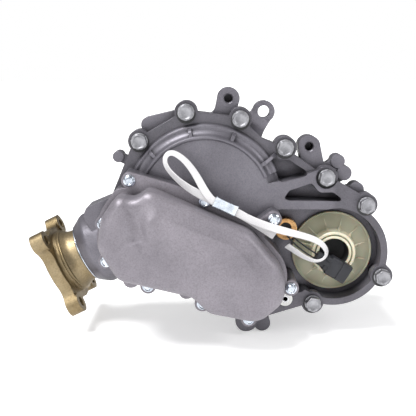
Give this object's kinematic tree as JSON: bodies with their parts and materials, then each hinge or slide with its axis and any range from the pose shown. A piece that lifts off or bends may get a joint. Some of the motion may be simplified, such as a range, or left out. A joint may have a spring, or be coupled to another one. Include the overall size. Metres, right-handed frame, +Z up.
{
  "type": "transfer case",
  "caption": "Angle-drive transfer case: a split aluminium housing with a spur train, a bevel pair and an output flange set at a slant, held for transit by a strap.",
  "frame": {"origin": "on the input axis, in the plane of the rear mounting face", "axes": "+Y along the input axis to the rear, towards the transaxle; +Z up; +X to the right seen from the cover side"},
  "size_m": [0.3946, 0.1818, 0.2673],
  "materials": {
    "cast_case": "satin",
    "cover_cast": "sand-cast, matt",
    "gasket": "matt",
    "bolt_zinc": "zinc plated",
    "small_bolt_zinc": "bright zinc",
    "gear_steel": "ground",
    "bearing_steel": "polished",
    "zinc_chromate": "yellow zinc chromate",
    "seal_rubber": "matt",
    "plug_plastic": "translucent cream",
    "copper_ring": "bright",
    "strap_weave": "woven",
    "clip_steel": "pressed, galvanised",
    "lead_black": "satin",
    "connector_black": "moulded",
    "ring_white": "moulded"
  },
  "bodies": {
    "housing": {"case_bolts": "bolt_zinc", "case_dowel": "bearing_steel", "case_gasket": "gasket", "cover_bolts": "small_bolt_zinc", "cover_gasket": "gasket", "dowel_ring": "ring_white", "drain_plug": "bolt_zinc", "fill_plug": "bolt_zinc", "front_case": "cast_case", "idler_shaft": "gear_steel", "input_front_bearing_outer": "bearing_steel", "input_front_seal": "seal_rubber", "input_plug": "plug_plastic", "input_rear_bearing_outer": "bearing_steel", "input_rear_seal": "seal_rubber", "lead_a": "lead_black", "lead_b": "lead_black", "lead_connector": "connector_black", "lead_grommet": "seal_rubber", "output_seal": "seal_rubber", "pinion_head_bearing_outer": "bearing_steel", "pinion_tail_bearing_outer": "bearing_steel", "port_ring": "copper_ring", "port_sleeve": "copper_ring", "rear_case": "cast_case", "rear_case_bolts": "bolt_zinc", "ring_front_bearing_outer": "bearing_steel", "ring_rear_bearing_outer": "bearing_steel", "side_cover": "cover_cast", "strap_seal": "clip_steel", "woven_strap": "strap_weave"},
    "input": {"input_shaft": "gear_steel", "input_gear": "gear_steel", "input_front_bearing_inner": "bearing_steel", "input_rear_bearing_inner": "bearing_steel"},
    "idler": {"idler_gear": "gear_steel", "idler_needle_cage": "gear_steel"},
    "ring": {"ring_gear": "gear_steel", "ring_shaft": "gear_steel", "driven_gear": "gear_steel", "ring_front_bearing_inner": "bearing_steel", "ring_rear_bearing_inner": "bearing_steel"},
    "output": {"pinion": "gear_steel", "pinion_head_bearing_inner": "bearing_steel", "pinion_tail_bearing_inner": "bearing_steel", "crush_sleeve": "gear_steel", "output_flange": "zinc_chromate", "pinion_nut": "bolt_zinc", "dust_deflector": "clip_steel"}
  },
  "joints": [
    {"name": "ring_spin", "type": "hinge", "parent": "housing", "child": "ring", "pos_m": [-0.13762, 0, 0.05644], "axis": [0, 1, 0], "continuous": true},
    {"name": "input_spin", "type": "hinge", "parent": "housing", "child": "input", "pos_m": [0, 0, 0], "axis": [0, 1, 0], "continuous": true},
    {"name": "idler_spin", "type": "hinge", "parent": "housing", "child": "idler", "pos_m": [-0.06708, 0, 0.02751], "axis": [0, 1, 0], "continuous": true},
    {"name": "output_spin", "type": "hinge", "parent": "housing", "child": "output", "pos_m": [-0.13762, -0.069, 0.05644], "axis": [-0.8949, 0, -0.4462], "continuous": true}
  ],
  "couplings": [
    {"joint": "input_spin", "follows": "ring_spin", "ratio": 1.0833},
    {"joint": "idler_spin", "follows": "ring_spin", "ratio": -1.7727},
    {"joint": "output_spin", "follows": "ring_spin", "ratio": 2.5}
  ]
}
